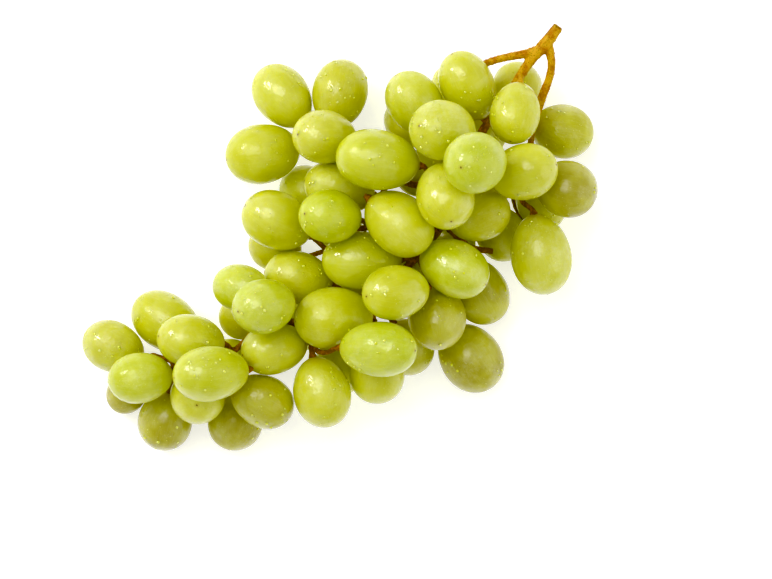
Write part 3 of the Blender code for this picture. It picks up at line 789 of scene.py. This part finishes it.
# %% Grow the bark
stalk_spots = [v.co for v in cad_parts["stalk"].data.vertices]
outermost = max(stalk_spots, key=lambda c: c.x + 2.5 * c.y)
cut_ring = [co for co in stalk_spots if (co - outermost).length < 4.6 * MM]
cut_end = sum(cut_ring, Vector()) / len(cut_ring)
further_in = [co for co in stalk_spots if 5 * MM < (co - cut_end).length < 12 * MM]
cut_way = (cut_end - sum(further_in, Vector()) / len(further_in)).normalized()
print("cut end mm:", [round(c / MM, 1) for c in cut_end], "faces", [round(c, 2) for c in cut_way])
stalk_mesh = grow("stalk_wood", bark_tree, {
    "Swell": 0.08 * MM, "Fibre Height": 0.50 * MM, "Wart Height": 0.22 * MM, "Seed": 3.0,
    "Cut End": tuple(cut_end), "Cut Way": tuple(cut_way), "Bark": wood}, start=whole)
stalk_piece = stand("grape_stalk", stalk_mesh)
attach(stalk_piece, "root")
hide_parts("stalk")


# %% [markdown]
# ## Table, light and camera
#
# The bunch lies on a white light table that glows faintly, so shadows stay pale. A smaller, stronger
# soft light on the left makes the highlight on each wet berry, a large one overhead makes the broad
# pale sheen, a weak one on the right opens the dark side, and a white world fills the rest. The camera
# looks straight down through a long lens from well above. Last, the picture is finished the way such
# a picture usually is: the tone curve deepens the yellow of the darker greens and lets the table run
# out to clean white.

# %% Table
table_finish, nt, shader = new_finish("white_table")
shader.inputs["Base Color"].default_value = (0.62, 0.62, 0.62, 1)
shader.inputs["Roughness"].default_value = 0.9
shader.inputs["Specular IOR Level"].default_value = 0.1
shader.inputs["Emission Color"].default_value = (1.0, 1.0, 1.0, 1)
shader.inputs["Emission Strength"].default_value = 0.58
board = bpy.data.meshes.new("table_top")
HALF = 6.0  # half the table's side, in metres
corners = [(x, y, -0.1 * MM) for x, y in ((-HALF, -HALF), (HALF, -HALF), (HALF, HALF), (-HALF, HALF))]
board.from_pydata(corners, [], [(0, 1, 2, 3)])
board.materials.append(table_finish)
table_top = stand("table_top", board)

# %% Lights and world
world = bpy.data.worlds.new("bright_room")
bpy.context.scene.world = world
world.use_nodes = True
world.node_tree.nodes["Background"].inputs["Color"].default_value = (1.0, 1.0, 1.0, 1)
world.node_tree.nodes["Background"].inputs["Strength"].default_value = 0.57


def softbox(name, place, size, watts, colour):
    """A square soft light aimed at the middle of the bunch."""
    data = bpy.data.lights.new(name, "AREA")
    data.shape = "SQUARE"
    data.size = size
    data.energy = watts
    data.color = colour
    lamp = bpy.data.objects.new(name, data)
    bpy.context.scene.collection.objects.link(lamp)
    lamp.location = place
    lamp.rotation_euler = (Vector((0, 0, 0.02)) - Vector(place)).to_track_quat("-Z", "Y").to_euler()
    lamp.visible_camera = False
    return lamp


softbox("window_light", (-0.95, 0.60, 0.80), 0.36, 5.0, (1.0, 0.99, 0.97))
softbox("ceiling_light", (-0.28, 0.36, 1.20), 0.80, 5.4, (1.0, 0.995, 0.98))
softbox("side_light", (1.10, -0.15, 0.60), 0.95, 2.4, (1.0, 0.99, 0.97))

# %% Camera
LENS_HEIGHT = 2.4
camera_data = bpy.data.cameras.new("camera")
camera_data.lens = 332.0
camera_data.sensor_width = 36.0
camera_data.clip_end = 50.0
camera = bpy.data.objects.new("camera", camera_data)
bpy.context.scene.collection.objects.link(camera)
camera.location = (0.0157, -0.0177, LENS_HEIGHT)
bpy.context.scene.camera = camera
view = bpy.context.scene.view_settings
view.view_transform = "Standard"
view.look = "None"
view.use_curve_mapping = True
tones = view.curve_mapping
tones.use_clip = False
tones.extend = "EXTRAPOLATED"
for here, there in ((0.065, 0.004), (0.13, 0.05), (0.23, 0.175), (0.40, 0.41), (0.55, 0.60), (0.80, 0.81)):
    tones.curves[2].points.new(here, there)
for here, there in ((0.87, 0.87), (0.94, 0.985)):
    tones.curves[3].points.new(here, there)
tones.curves[3].points[-1].location = (1.0, 1.10)
tones.update()
